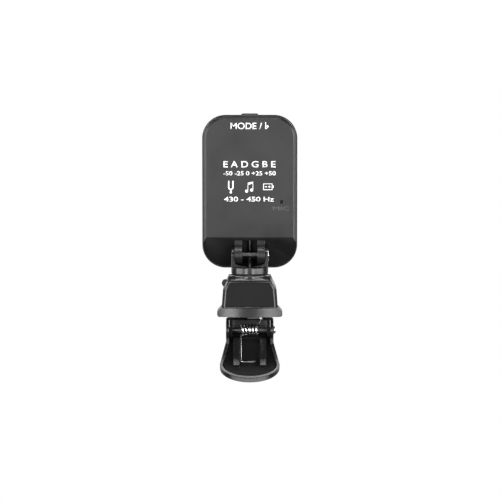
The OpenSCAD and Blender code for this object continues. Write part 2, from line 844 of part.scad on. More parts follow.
module yoke() {
    color("#2a2b2d")
    difference() {
        union() {
            at_swivel() {
                translate([0, 0, collar_low])
                    cylinder(h = collar_t - collar_edge, r = collar_r);
                translate([0, 0, collar_top - collar_edge])
                    cylinder(h = collar_edge, r1 = collar_r, r2 = collar_r - collar_edge);
                translate([0, 0, stem_low])
                    cylinder(h = collar_low - stem_low + cut, r = stem_r);
            }
            both_sides() at_tilt() translate([(arm_in + arm_out) / 2, 0, 0])
                across(arm_t) yoke_arm_view();
            saddle();
        }
        at_swivel() {
            translate([0, 0, stem_low - cut])
                cylinder(h = collar_top - stem_low + 2 * cut + saddle_h, r = lead_hole_r);
            ring(circlip_low - fit_gap, circlip_low + circlip_t + fit_gap,
                stem_r - groove_depth, stem_r + cut);
        }
        at_tilt() {
            rod(arm_in - cut, arm_out + cut, screw_r + fit_gap / 2);
            rod(arm_out - screw_recess, arm_out + cut, screw_head_r + 2 * fit_gap);
            rod(-arm_out - cut, -arm_in + cut, insert_r + fit_gap / 2);
        }
    }
}

module yoke_arm_view() {
    circle(arm_r);
    translate([-arm_r, collar_low - tilt_z + cut])
        square([2 * arm_r, tilt_z - collar_low - cut]);
}

// Saddle between the arms, lowest in the middle, hollowed for the knuckles and their webs
module saddle() {
    saddle_r = (pow(arm_in, 2) + pow(saddle_h, 2)) / (2 * saddle_h);
    difference() {
        lengthwise(tilt_y - arm_r, tilt_y + arm_r) difference() {
            translate([-arm_in - cut / 2, collar_top - cut])
                square([2 * arm_in + cut, saddle_h + cut]);
            translate([0, collar_top + saddle_r]) circle(saddle_r, $fn = 2 * $fn);
        }
        at_tilt() rod(-arm_in, arm_in, knuckle_r + saddle_gap);
        at_tilt() translate([-arm_in, 0, -knuckle_r - saddle_gap])
            cube([2 * arm_in, arm_r + cut, knuckle_r]);
    }
}

module bearing_disc() {
    color("#101011")
    at_swivel() ring(boss_top + fit_gap, boss_top + fit_gap + disc_t,
        stem_r + fit_gap, boss_r - boss_round);
}

module wave_washer() {
    color("#b4b6ba")
    at_swivel() ring(washer_low, washer_low + washer_t, stem_r + fit_gap, stem_r + 1.8);
}

// Retaining ring with its opening at the back
module swivel_circlip() {
    color("#8d9096")
    at_swivel() difference() {
        ring(circlip_low, circlip_low + circlip_t, stem_r - groove_depth + fit_gap,
            stem_r + 1.4);
        translate([-1.5, 0, circlip_low - cut]) cube([3, 2 * stem_r, circlip_t + 2 * cut]);
    }
}

// Hinge screw with a crossed recess in its head
module tilt_screw() {
    head_end = arm_out - screw_recess + screw_head_t;
    color("#d5d7da")
    at_tilt() difference() {
        union() {
            rod(-arm_out, arm_out - screw_recess + cut, screw_r);
            rod(arm_out - screw_recess, head_end - screw_edge, screw_head_r);
            translate([head_end - screw_edge, 0, 0]) rotate([0, 90, 0])
                cylinder(h = screw_edge, r1 = screw_head_r, r2 = screw_head_r - 1.5 * screw_edge);
        }
        for (a = [0, 90])
            translate([head_end, 0, 0]) rotate([a, 0, 0])
                cube([2 * cross_deep, cross_w, cross_l], center = true);
    }
}

module hinge_insert() {
    color("#b98f3e")
    at_tilt() difference() {
        rod(-arm_out, -arm_in, insert_r);
        rod(-arm_out - cut, -arm_in + cut, screw_r + fit_gap / 2);
    }
}

// Lead from the switch board up the stem, past the hinge screw and into the head
lead_r = 0.6;
lead_in_stem = 0.9;
lead_low = switch_board_z + switch_board_t;
lead_out = axis_d - board_back - lead_r;
lead_top = head_mid + notch_top + 1.6;
lead_path = concat([[0, lead_in_stem, lead_low], [0, lead_in_stem, collar_low]],
    [for (t = [0 : 0.1 : 1]) bend(t)], [[0, lead_out, lead_top]]);
function bend(t) = pow(1 - t, 3) * [0, lead_in_stem, collar_top]
    + 3 * t * pow(1 - t, 2) * [0, lead_in_stem + 0.3, tilt_z - 1]
    + 3 * t * t * (1 - t) * [0, lead_out, tilt_z - 1.8]
    + pow(t, 3) * [0, lead_out, tilt_z + 2.6];

module signal_lead() {
    color("#5b5d60")
    at_swivel() tube(lead_path, lead_r, 8);
}

// ---- Head shells, drawn lying on the display face ----

// Wedge that slants the lower rear face, sunk by the given depth
module slant_cut(sunk) {
    top = head_t - sunk;
    run = head_h / 2 + slant_from + 10;
    across(2 * head_w) polygon([[slant_from, top], [slant_from + 2, top],
        [slant_from + 2, head_t + cut], [slant_from - run, head_t + cut],
        [slant_from - run, top - run * tan(slant_angle)]]);
}

module rear_outside() {
    translate([0, 0, seam_depth])
        linear_extrude(height = head_t - rear_bevel - seam_depth)
            rounded_rect(rear_w, rear_h, rear_corner_r);
    translate([0, 0, head_t - rear_bevel])
        bevelled_layer(rear_w, rear_h, rear_corner_r, rear_bevel);
}

module rear_inside() {
    difference() {
        translate([0, 0, seam_depth - cut])
            linear_extrude(height = head_t - shell_wall - seam_depth + cut)
                rounded_rect(inner_w, inner_h, inner_corner_r);
        slant_cut(slant_wall);
        slot_housing();
    }
}

// Walls that close the hinge slot off from the inside of the head
module slot_housing() {
    translate([-knuckle_in - slot_wall, slot_low - slot_wall, seam_depth])
        cube([knuckle_gap + 2 * slot_wall, slot_top - slot_low + 2 * slot_wall, head_t]);
}

// Side view of a knuckle about the hinge axis
module knuckle_view() {
    circle(knuckle_r);
    polygon([[0, -knuckle_r], [web_l, -knuckle_r], [web_l, knuckle_r + web_up],
        [web_from, knuckle_r + web_up]]);
}

web_l = head_back + 5.6;    // a knuckle's web roots this far behind the rear face
web_up = 3;             // how far its web rises over it
web_from = 2.6;         // where the web's upper end starts

module rear_shell() {
    color("#3a3b3d")
    difference() {
        union() {
            in_head() difference() {
                rear_outside();
                slant_cut(0);
            }
            difference() {
                both_sides() at_tilt() translate([(knuckle_in + knuckle_out) / 2, 0, 0])
                    across(knuckle_t) knuckle_view();
                in_head() translate([0, 0, (seam_depth - head_t) / 2])
                    cube([head_w, head_h, head_t + seam_depth], center = true);
            }
        }
        in_head() {
            rear_inside();
            translate([-knuckle_in, slot_low, seam_depth + slot_floor_t])
                cube([knuckle_gap, slot_top - slot_low, head_t]);
            translate([0, slot_top - cut, board_back + lead_r]) rotate([-90, 0, 0])
                cylinder(h = slot_wall + 2 * cut, r = lead_r + 2 * fit_gap);
            translate([mic_x, mic_v, head_t - 2 * shell_wall])
                cylinder(h = 3 * shell_wall, r = mic_hole_d / 2);
            translate([-button_w / 2 - button_gap, inner_h / 2 - cut, button_d - button_gap])
                cube([button_w + 2 * button_gap, 3 * shell_wall, button_t + 2 * button_gap]);
        }
        at_tilt() rod(-knuckle_out - cut, knuckle_out + cut, screw_r + run_gap);
    }
}

// Post that holds the circuit board, with its screw hole
module board_post() {
    difference() {
        translate([0, 0, face_t - post_foot])
            cylinder(h = board_d - face_t + post_foot, r = post_r);
        translate([0, 0, face_t]) cylinder(h = board_d, r = post_hole_r);
    }
}

module at_posts() {
    for (x = [-post_x, post_x], v = post_v) translate([x, v, 0]) children();
}

module front_shell() {
    color("#1d1e20")
    in_head() {
        difference() {
            union() {
                mirror([0, 0, 1]) translate([0, 0, -front_edge])
                    bevelled_layer(head_w, head_h, head_corner_r, front_edge);
                translate([0, 0, front_edge]) linear_extrude(height = seam_depth - front_edge)
                    rounded_rect(head_w, head_h, head_corner_r);
            }
            translate([0, 0, face_t]) linear_extrude(height = seam_depth)
                rounded_rect(inner_w, inner_h, inner_corner_r);
            translate([0, lcd_mid, -cut]) linear_extrude(height = window_t + cut)
                rounded_rect(window_w + 2 * fit_gap, window_h + 2 * fit_gap, window_corner_r);
            translate([0, lcd_mid, 0]) linear_extrude(height = 2 * face_t)
                rounded_rect(lcd_w - 3, lcd_h - 3, 1);
        }
        at_posts() board_post();
    }
}

// ---- Inside the head ----

module display_window() {
    color("#0b0c0e", 0.85)
    in_head() translate([0, lcd_mid, 0]) linear_extrude(height = window_t)
        rounded_rect(window_w, window_h, window_corner_r - fit_gap);
}

module lcd_panel() {
    color("#56605c")
    in_head() translate([0, lcd_mid, lcd_d]) linear_extrude(height = lcd_t)
        square([lcd_w, lcd_h], center = true);
}

module light_guide() {
    color("#e9edf0")
    in_head() translate([0, lcd_mid, guide_d]) linear_extrude(height = guide_t)
        square([lcd_w, lcd_h], center = true);
}

module lcd_frame() {
    color("#d8d8d4")
    in_head() translate([0, lcd_mid, lcd_d]) linear_extrude(height = board_d - lcd_d - fit_gap)
        difference() {
            square([lcd_w + 2 * frame_wall, lcd_h + 2 * frame_wall], center = true);
            square([lcd_w + 4 * fit_gap, lcd_h + 4 * fit_gap], center = true);
        }
}

module circuit_board() {
    color("#1f6b3a")
    in_head() translate([0, 0, board_d]) linear_extrude(height = board_t) difference() {
        translate([0, (board_top + board_low) / 2])
            rounded_rect(board_w, board_top - board_low, board_r);
        translate([-notch_w / 2, board_low - cut]) square([notch_w, notch_top - board_low + cut]);
        at_posts() circle(board_screw_r + fit_gap);
    }
}

module board_chips() {
    color("#17181a")
    in_head() for (c = chips)
        translate([c[0] - c[2] / 2, c[1] - c[3] / 2, board_back]) cube([c[2], c[3], c[4]]);
}

module board_screws() {
    color("#c8cacd")
    in_head() at_posts() {
        translate([0, 0, board_back + fit_gap])
            cylinder(h = board_screw_head_t, r = board_screw_head_r);
        translate([0, 0, face_t + 0.6])
            cylinder(h = board_back - face_t, r = board_screw_r);
    }
}

// Side-acting switch that the mode button pushes
module mode_switch() {
    color("#b9bcc0")
    in_head() translate([0, 0, board_back]) {
        translate([-switch_w / 2, board_top - switch_l, 0])
            cube([switch_w, switch_l, button_t + 0.4]);
        translate([-actuator_w / 2, board_top - cut, actuator_up])
            cube([actuator_w, switch_top - board_top + cut, actuator_t]);
    }
}

module mode_button() {
    color("#7d7f83")
    in_head() {
        translate([-button_w / 2, flange_low, button_d])
            cube([button_w, button_top - flange_low - button_edge, button_t]);
        translate([-button_w / 2 + button_edge, flange_low, button_d + button_edge])
            cube([button_w - 2 * button_edge, button_top - flange_low, button_t - 2 * button_edge]);
        translate([-button_w / 2 - flange_over, flange_low, button_d])
            cube([button_w + 2 * flange_over, flange_t, button_t]);
    }
}

module coin_cell() {
    color("#c8cacd")
    in_head() translate([0, cell_v, cell_low]) {
        cylinder(h = cell_rim_t, r = cell_r - cell_step);
        translate([0, 0, cell_rim_t]) cylinder(h = cell_t - cell_rim_t, r = cell_r);
    }
}

// Sprung strip over the cell, with a leg down to the board
module battery_contact_upper() {
    color("#d1b36a")
    in_head() {
        translate([-contact_w / 2, cell_v - 3, upper_contact_d])
            cube([contact_w, cell_r + 4 + contact_leg_t, upper_contact_t]);
        translate([-contact_w / 2, cell_v + cell_r + 1, board_back])
            cube([contact_w, contact_leg_t, upper_contact_d - board_back + upper_contact_t]);
    }
}

module battery_contact_lower() {
    color("#d1b36a")
    in_head() translate([0, cell_v, board_back]) cylinder(h = lower_contact_t, r = lower_contact_r);
}

module mic_capsule() {
    color("#a9abae")
    in_head() translate([mic_x, mic_v, head_t - shell_wall - mic_t - mic_gap])
        cylinder(h = mic_t, r = mic_r);
}

upper_arm();
block_cover();
upper_pad();
switch_board();
auto_on_switch();
piezo_disc();
torsion_spring();
lower_arm();
lower_pad();
pivot_pin();
switch_plunger();
yoke();
bearing_disc();
wave_washer();
swivel_circlip();
tilt_screw();
hinge_insert();
signal_lead();
rear_shell();
front_shell();
display_window();
lcd_panel();
light_guide();
lcd_frame();
circuit_board();
board_chips();
board_screws();
mode_switch();
mode_button();
coin_cell();
battery_contact_upper();
battery_contact_lower();
mic_capsule();
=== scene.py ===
"""Clip-on tuner seen from behind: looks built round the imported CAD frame."""
import json
import math

import bmesh
import bpy
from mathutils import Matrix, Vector
from mathutils.bvhtree import BVHTree

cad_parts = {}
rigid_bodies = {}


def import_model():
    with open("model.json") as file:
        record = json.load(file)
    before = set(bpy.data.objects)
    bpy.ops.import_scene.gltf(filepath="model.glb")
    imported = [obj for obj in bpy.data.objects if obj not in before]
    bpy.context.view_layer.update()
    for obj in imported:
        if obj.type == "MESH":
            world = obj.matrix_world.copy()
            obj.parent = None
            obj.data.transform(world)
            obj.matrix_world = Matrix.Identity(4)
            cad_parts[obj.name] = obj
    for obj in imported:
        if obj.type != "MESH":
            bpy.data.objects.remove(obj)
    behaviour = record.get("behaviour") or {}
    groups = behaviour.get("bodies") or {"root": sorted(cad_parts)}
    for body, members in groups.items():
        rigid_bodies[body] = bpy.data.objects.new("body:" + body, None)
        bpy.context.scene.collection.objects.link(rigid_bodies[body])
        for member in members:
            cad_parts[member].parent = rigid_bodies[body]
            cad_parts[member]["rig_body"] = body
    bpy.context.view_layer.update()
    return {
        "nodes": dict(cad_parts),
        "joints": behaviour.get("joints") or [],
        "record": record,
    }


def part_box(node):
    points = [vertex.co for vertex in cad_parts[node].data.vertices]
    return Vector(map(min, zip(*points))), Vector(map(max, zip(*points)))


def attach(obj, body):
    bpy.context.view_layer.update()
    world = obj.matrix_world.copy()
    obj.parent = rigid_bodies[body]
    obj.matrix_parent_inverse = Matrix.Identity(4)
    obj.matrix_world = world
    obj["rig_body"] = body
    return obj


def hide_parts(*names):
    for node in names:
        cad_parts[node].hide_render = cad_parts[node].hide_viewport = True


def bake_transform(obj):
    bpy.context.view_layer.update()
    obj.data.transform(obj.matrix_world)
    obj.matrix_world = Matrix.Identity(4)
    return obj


MM = 0.001
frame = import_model()
NODES = frame["nodes"]
JOINTS = {j["name"]: j for j in frame["joints"]}
SLOT_OF = {s["node"]: s["material_slot"] for s in frame["record"]["subparts"]}

WELD = 0.003 * MM                   # points closer than this are one point
COPLANAR = math.radians(0.4)        # faces that turn less than this are one face
BEVEL_TRIES = 8
STRAY = 0.6                         # how far a bevel may leave the surface, of its width
SHADING_BREAK = math.radians(50)    # edges that turn more than this are shaded sharp
LEVER_SLOPE = 52                    # degrees, of the lower lever's floor
INK_T = 0.02 * MM
INK_SUNK = INK_T / 4                # part of the ink's film that lies below the surface


# ---- Materials ------------------------------------------------------------------

class Shader:
    """A Principled material and short ways to add nodes to it."""

    def __init__(self, name, color, rough, metallic=0.0):
        self.material = bpy.data.materials.new(name)
        self.material.use_nodes = True
        self.tree = self.material.node_tree
        self.surface = self.tree.nodes["Principled BSDF"]
        self.surface.inputs["Base Color"].default_value = (*color, 1)
        self.surface.inputs["Roughness"].default_value = rough
        self.surface.inputs["Metallic"].default_value = metallic
        self.color = color
        self.rough = rough
        place = self.add("ShaderNodeTexCoord")
        self.place = place.outputs["Object"]

    def add(self, kind, **values):
        node = self.tree.nodes.new(kind)
        for key, value in values.items():
            setattr(node, key, value)
        return node

    def link(self, a, b):
        self.tree.links.new(a, b)

    def noise(self, scale, detail=3.0, stretch=None):
        node = self.add("ShaderNodeTexNoise")
        node.inputs["Scale"].default_value = scale
        node.inputs["Detail"].default_value = detail
        place = self.place
        if stretch:
            mapping = self.add("ShaderNodeMapping")
            mapping.inputs["Scale"].default_value = stretch
            self.link(place, mapping.inputs["Vector"])
            place = mapping.outputs["Vector"]
        self.link(place, node.inputs["Vector"])
        return node.outputs["Fac"]

    def between(self, fac, low, high, start=0.35, end=0.65):
        node = self.add("ShaderNodeMapRange")
        self.link(fac, node.inputs["Value"])
        node.inputs["From Min"].default_value = start
        node.inputs["From Max"].default_value = end
        node.inputs["To Min"].default_value = low
        node.inputs["To Max"].default_value = high
        return node.outputs["Result"]

    def mottle(self, scale, spread):
        """Base colour that drifts a little lighter and darker."""
        node = self.add("ShaderNodeMix", data_type="RGBA")
        self.link(self.between(self.noise(scale), 0, 1), node.inputs["Factor"])
        node.inputs["A"].default_value = (*[c * (1 - spread) for c in self.color], 1)
        node.inputs["B"].default_value = (*[c * (1 + spread) for c in self.color], 1)
        self.link(node.outputs["Result"], self.surface.inputs["Base Color"])

    def smears(self, scale, spread, stretch=None):
        """Roughness that varies as handling and moulding leave it."""
        fac = self.between(
            self.noise(scale, 5, stretch), self.rough * (1 - spread), self.rough * (1 + spread)
        )
        self.link(fac, self.surface.inputs["Roughness"])

    def grain(self, scale, depth, detail=2.0, stretch=None):
        """Fine bump of the surface; depth in metres."""
        bump = self.add("ShaderNodeBump")
        bump.inputs["Distance"].default_value = depth
        bump.inputs["Strength"].default_value = 1
        self.link(self.noise(scale, detail, stretch), bump.inputs["Height"])
        self.link(bump.outputs["Normal"], self.surface.inputs["Normal"])


def plastic(name, color, rough, grain_mm=0.12, depth_mm=0.004, spread=0.12, gloss=0.5):
    s = Shader(name, color, rough)
    s.surface.inputs["IOR"].default_value = 1.5
    s.surface.inputs["Specular IOR Level"].default_value = gloss
    s.mottle(120, 0.1)
    s.smears(90, spread)
    s.grain(1 / (grain_mm * MM), depth_mm * MM)
    return s.material


def metal(name, color, rough, stretch=None, depth_mm=0.001):
    s = Shader(name, color, rough, 1)
    s.mottle(300, 0.06)
    s.smears(400, 0.3, stretch)
    s.grain(9000, depth_mm * MM, 2, stretch)
    return s.material


def rubber(name, color):
    s = Shader(name, color, 0.75)
    s.mottle(200, 0.2)
    s.smears(150, 0.12)
    s.grain(6000, 0.012 * MM, 4)
    return s.material


def board_laminate(name):
    """Green solder mask over faint copper traces."""
    s = Shader(name, (0.012, 0.09, 0.035), 0.32)
    brick = s.add("ShaderNodeTexBrick")
    brick.inputs["Scale"].default_value = 300
    brick.inputs["Mortar Size"].default_value = 0.012
    brick.inputs["Color1"].default_value = (0.010, 0.075, 0.03, 1)
    brick.inputs["Color2"].default_value = (0.014, 0.1, 0.04, 1)
    brick.inputs["Mortar"].default_value = (0.03, 0.19, 0.08, 1)
    turn = s.add("ShaderNodeMapping")
    turn.inputs["Rotation"].default_value = (math.pi / 2, 0, 0)
    s.link(s.place, turn.inputs["Vector"])
    s.link(turn.outputs["Vector"], brick.inputs["Vector"])
    s.link(brick.outputs["Color"], s.surface.inputs["Base Color"])
    s.smears(500, 0.15)
    s.grain(3000, 0.004 * MM)
    return s.material


def clear_window(name):
    s = Shader(name, (0.55, 0.56, 0.58), 0.04)
    s.surface.inputs["Transmission Weight"].default_value = 1
    s.surface.inputs["IOR"].default_value = 1.49
    s.smears(200, 0.4)
    return s.material


def liquid_crystal(name):
    s = Shader(name, (0.2, 0.23, 0.21), 0.18)
    s.mottle(60, 0.06)
    s.smears(150, 0.2)
    s.grain(5000, 0.001 * MM)
    return s.material


def ink(name, color, rough=0.5):
    s = Shader(name, color, rough)
    s.mottle(1800, 0.05)
    s.smears(1500, 0.15)
    s.grain(12000, 0.003 * MM)
    return s.material


MATERIALS = {
    "rear_plastic": plastic("rear_plastic", (0.006, 0.006, 0.0065), 0.38, 0.16, 0.005),
    "front_plastic": plastic("front_plastic", (0.008, 0.008, 0.009), 0.16, 0.6, 0.001),
    "clip_plastic": plastic("clip_plastic", (0.008, 0.008, 0.0085), 0.27, 0.2, 0.002),
    "cover_plastic": plastic("cover_plastic", (0.006, 0.006, 0.0065), 0.5, 0.1, 0.005, gloss=0.14),
    "button_plastic": plastic("button_plastic", (0.012, 0.012, 0.013), 0.4, 0.15, 0.004),
    "white_plastic": plastic("white_plastic", (0.72, 0.71, 0.67), 0.45, 0.3, 0.004),
    "guide_plastic": plastic("guide_plastic", (0.8, 0.84, 0.86), 0.3, 0.4, 0.004),
    "chip_black": plastic("chip_black", (0.012, 0.012, 0.013), 0.55, 0.08, 0.006),
    "lead_sleeve": plastic("lead_sleeve", (0.012, 0.012, 0.013), 0.45, 0.3, 0.003),
    "pad_rubber": rubber("pad_rubber", (0.02, 0.02, 0.021)),
    "board": board_laminate("board"),
    "window": clear_window("window"),
    "lcd_glass": liquid_crystal("lcd_glass"),
    "spring_steel": metal("spring_steel", (0.82, 0.82, 0.83), 0.2),
    "screw_nickel": metal("screw_nickel", (0.85, 0.84, 0.82), 0.18),
    "plated_metal": metal("plated_metal", (0.62, 0.63, 0.64), 0.34),
    "cell_steel": metal("cell_steel", (0.7, 0.7, 0.71), 0.26),
    "pin_steel": metal("pin_steel", (0.78, 0.78, 0.79), 0.22),
    "brass": metal("brass", (0.76, 0.55, 0.25), 0.3),
}
# Painted shade: dark steel for shanks that lie in shade, under bright heads
SHANK_SHADE_STEEL = metal("shank_shade_steel", (0.09, 0.09, 0.095), 0.5)
WHITE_INK = ink("white_ink", (0.85, 0.85, 0.84))
FAINT_INK = ink("faint_ink", (0.06, 0.06, 0.062))
SEGMENT_INK = ink("segment_ink", (0.015, 0.018, 0.017), 0.35)
RED_INK = ink("red_ink", (0.45, 0.03, 0.02))


# ---- Helpers ---------------------------------------------------------------------

def linked(name, data):
    piece = bpy.data.objects.new(name, data)
    bpy.context.scene.collection.objects.link(piece)
    return piece


def finished(piece, body, material):
    """Gives a piece its material and body."""
    piece.data.materials.clear()
    piece.data.materials.append(material)
    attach(piece, body)
    return piece


def bevelled(mesh, width, segments, sharp):
    """Rounds a mesh's hard edges, leaving out any that a bevel would pull out of the surface."""
    source = bmesh.new()
    source.from_mesh(mesh)
    bmesh.ops.remove_doubles(source, verts=source.verts, dist=WELD)
    bmesh.ops.dissolve_limit(
        source, angle_limit=COPLANAR, verts=source.verts, edges=source.edges
    )
    surface = BVHTree.FromBMesh(source)
    left_out = set()
    for _ in range(BEVEL_TRIES):
        bm = source.copy()
        bm.edges.ensure_lookup_table()
        hard = [e for e in bm.edges if e.index not in left_out and e.is_manifold
                and e.calc_face_angle() > sharp]
        ends = {e.index: (e.verts[0].co.copy(), e.verts[1].co.copy()) for e in hard}
        bmesh.ops.bevel(
            bm, geom=hard, offset=width, offset_type="OFFSET", segments=segments,
            profile=0.5, affect="EDGES", clamp_overlap=False, loop_slide=True,
        )
        astray = [v.co.copy() for v in bm.verts if surface.find_nearest(v.co)[3] > STRAY * width]
        if not astray:
            break
        near = {i for i, (a, b) in ends.items() for p in astray if reach(p, a, b) < 3 * width}
        left_out |= near or set(ends)
        bm.free()
        bm = None
    if bm is None:
        bm = source.copy()
    source.free()
    return bm


def reach(point, a, b):
    """Distance from a point to the stretch from a to b."""
    span = b - a
    t = max(0, min(1, (point - a).dot(span) / max(span.length_squared, 1e-18)))
    return (point - a - span * t).length


def refined(node, width_mm, segments=2, sharp=30):
    """A copy of a CAD node whose hard edges are rounded, standing for that node."""
    mesh = NODES[node].data.copy()
    mesh.name = node + "_finish"
    for name in ("custom_normal", "sharp_edge", "sharp_face"):
        if name in mesh.attributes:
            mesh.attributes.remove(mesh.attributes[name])
    bm = bevelled(mesh, width_mm * MM, segments, math.radians(sharp))
    for face in bm.faces:
        face.smooth = True
    bm.to_mesh(mesh)
    bm.free()
    mesh.set_sharp_from_angle(angle=SHADING_BREAK)
    piece = linked(node + "_finish", mesh)
    weighted = piece.modifiers.new("even_normals", "WEIGHTED_NORMAL")
    weighted.keep_sharp = True
    weighted.weight = 100
    slot = SLOT_OF[node]
    finished(piece, NODES[node]["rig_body"], MATERIALS[slot])
    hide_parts(node)
    return piece


def tube(name, points, radius, sides=16):
    """Mesh tube along points, closed at both ends."""
    points = [Vector(p) for p in points]
    bm = bmesh.new()
    side = Vector((0.1, 0.9, 0.3))      # no tube starts along this
    rings = []
    for i, point in enumerate(points):
        ahead = points[min(i + 1, len(points) - 1)]
        behind = points[max(i - 1, 0)]
        along = (ahead - behind).normalized()
        side = (side - along * side.dot(along)).normalized()
        other = along.cross(side)
        ring = []
        for k in range(sides):
            a = 2 * math.pi * k / sides
            ring.append(bm.verts.new(point + radius * (math.cos(a) * side + math.sin(a) * other)))
        rings.append(ring)
    for low, high in zip(rings, rings[1:]):
        for k in range(sides):
            n = (k + 1) % sides
            bm.faces.new((low[k], low[n], high[n], high[k]))
    bm.faces.new(list(reversed(rings[0])))
    bm.faces.new(rings[-1])
    bmesh.ops.recalc_face_normals(bm, faces=bm.faces)
    for face in bm.faces:
        face.smooth = True
    mesh = bpy.data.meshes.new(name)
    bm.to_mesh(mesh)
    bm.free()
    mesh.set_sharp_from_angle(angle=SHADING_BREAK)
    return linked(name, mesh)


# ---- Carried-over CAD nodes and their finish ---------------------------------------

for name, node in NODES.items():
    for material_slot in node.material_slots:
        material_slot.material = MATERIALS[SLOT_OF[name]]


def repaint(piece, material, test):
    """Gives a second material to the faces whose middle, in metres, passes the test."""
    piece.data.materials.append(material)
    for face in piece.data.polygons:
        if test(face.center):
            face.material_index = len(piece.data.materials) - 1


ROUNDING_MM = {
    "rear_shell": 0.14, "front_shell": 0.14, "upper_arm": 0.22, "lower_arm": 0.2,
    "block_cover": 0.12, "yoke": 0.12, "upper_pad": 0.15, "lower_pad": 0.15,
    "mode_button": 0.15, "tilt_screw": 0.07, "pivot_pin": 0.1, "display_window": 0.1,
}
FINE = {name: refined(name, width) for name, width in ROUNDING_MM.items()}


def painted_shade_and_matt_finishes():
    """Dark steel on the screw's and the pin's shanks as painted shade, where they lie in the slot and
    between the ears under bright heads, and matt plastic in the hinge slot and on the lever's floor.
    """
    arm_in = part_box("hinge_insert")[1].x
    # Painted shade: the screw's shank in the slot is painted dark, and its head stays bright
    repaint(FINE["tilt_screw"], SHANK_SHADE_STEEL, lambda c: abs(c.x) < -arm_in)

    pin_head = 0.95 * MM
    ear_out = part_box("lower_arm")[1].x
    head_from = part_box("pivot_pin")[1].x - pin_head
    # Painted shade: the pin is painted dark between the ears, and its head stays bright
    repaint(FINE["pivot_pin"], SHANK_SHADE_STEEL, lambda c: c.x < min(ear_out, head_from))

    hinge = Vector(JOINTS["head_tilt"]["pos_m"])
    slot_half, slot_low, slot_high, slot_front = 3.1 * MM, -3 * MM, 5.7 * MM, 1.8 * MM
    repaint(FINE["rear_shell"], MATERIALS["cover_plastic"],
            lambda c: abs(c.x) < slot_half and slot_low < c.z - hinge.z < slot_high
            and c.y > hinge.y + slot_front)

    slope = math.radians(LEVER_SLOPE)
    pivot = Vector(JOINTS["jaw_hinge"]["pos_m"])
    out = Vector((0, -math.sin(slope), math.cos(slope)))     # square to the lever's floor
    floor_low, floor_high, floor_half, floor_top = -4.4 * MM, -3.3 * MM, 10.7 * MM, -3 * MM
    repaint(FINE["lower_arm"], MATERIALS["cover_plastic"],
            lambda c: floor_low < (c - pivot).dot(out) < floor_high
            and abs(c.x) < floor_half and c.z < floor_top)


painted_shade_and_matt_finishes()


# ---- Torsion spring ---------------------------------------------------------------

def spring_pieces():
    """The coil with its upper leg stays with the upper arm; the lower leg goes with the lever."""
    pivot = Vector(JOINTS["jaw_hinge"]["pos_m"])
    wire = 0.85 * MM
    radius = (4.8 * MM - wire) / 2
    turns, width = 6, 7.2 * MM
    off_floor = 7.4      # degrees between the lower leg and the lever's floor
    lower_dir, upper_dir = 180 + LEVER_SLOPE + off_floor, 160
    start = lower_dir - 270
    sweep = 360 * (turns - 1) + upper_dir - 90 - start
    upper_leg, lower_leg, hook, bend = 12.6 * MM, 13.1 * MM, 5.7 * MM, 0.8 * MM
    upper_lean = 1.2 * MM
    slimmer = 0.01 * MM      # the lower leg's first turn hides inside the coil
    bend_points = 8
    across = Vector((1, 0, 0))

    def on_coil(t):
        a = math.radians(start + sweep * t)
        return pivot + Vector((width * (t - 0.5), radius * math.cos(a), radius * math.sin(a)))

    def leg_points(root, direction, length, lean, hook_way):
        a = math.radians(direction)
        tip = root + Vector((lean, length * math.cos(a), length * math.sin(a)))
        way = (tip - root).normalized()
        points = [root.lerp(tip, t) for t in (0.06, 0.3, 0.6)]
        for k in range(bend_points):
            t = k / (bend_points - 1)
            points.append((tip - way * bend * (1 - t)).lerp(tip + hook_way * bend * t, t))
        return points + [tip + hook_way * hook]

    steps = 40 * turns
    coil = [on_coil(i / steps) for i in range(steps + 1)]
    upper_points = coil + leg_points(coil[-1], upper_dir, upper_leg, upper_lean, -across)
    upper = tube("spring_coil", upper_points, wire / 2)
    lap = steps // 30      # stays inside the coil's first turn as the jaws open
    lower_points = coil[lap::-1] + leg_points(coil[0], lower_dir, lower_leg, 0, across)
    lower = tube("spring_lower_leg", lower_points, wire / 2 - slimmer)
    for piece, body in ((upper, "clip_upper"), (lower, "clip_lower")):
        finished(piece, body, MATERIALS["spring_steel"])
        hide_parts("torsion_spring")


spring_pieces()


# ---- Signal lead -------------------------------------------------------------------

def signal_lead():
    """Sleeved lead with a bend by the head's hinge."""
    low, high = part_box("signal_lead")
    hinge = Vector(JOINTS["head_tilt"]["pos_m"])
    radius = 0.6 * MM
    stem_y, head_y = low.y + radius, high.y - radius
    bend_low, bend_high = 4.7 * MM, 2.6 * MM      # where the bend starts and ends, from the hinge
    pull_low, pull_high, pull_out = 1 * MM, 1.8 * MM, 0.3 * MM
    straight_steps, bend_steps = 6, 24
    a = Vector((0, stem_y, hinge.z - bend_low))
    b = Vector((0, stem_y + pull_out, hinge.z - pull_low))
    c = Vector((0, head_y, hinge.z - pull_high))
    d = Vector((0, head_y, hinge.z + bend_high))
    foot = Vector((0, stem_y, low.z))
    points = [foot.lerp(a, k / straight_steps) for k in range(straight_steps)]
    for k in range(bend_steps + 1):
        t = k / bend_steps
        u = 1 - t
        points.append(u ** 3 * a + 3 * t * u ** 2 * b + 3 * t * t * u * c + t ** 3 * d)
    points.append(Vector((0, head_y, high.z)))
    piece = tube("signal_lead_finish", points, radius)
    piece.data.materials.append(MATERIALS["lead_sleeve"])
    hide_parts("signal_lead")
    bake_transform(piece)


signal_lead()


# ---- Print on the rear face ----------------------------------------------------------

rear_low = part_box("rear_shell")[0]
front_low, front_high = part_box("front_shell")
lcd_low, lcd_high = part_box("lcd_panel")
flat_from = rear_low.z + 20 * MM      # the rear face is flat above this
rear_y = min(v.co.y for v in NODES["rear_shell"].data.vertices if v.co.z > flat_from)
head_middle_z = (front_low.z + front_high.z) / 2


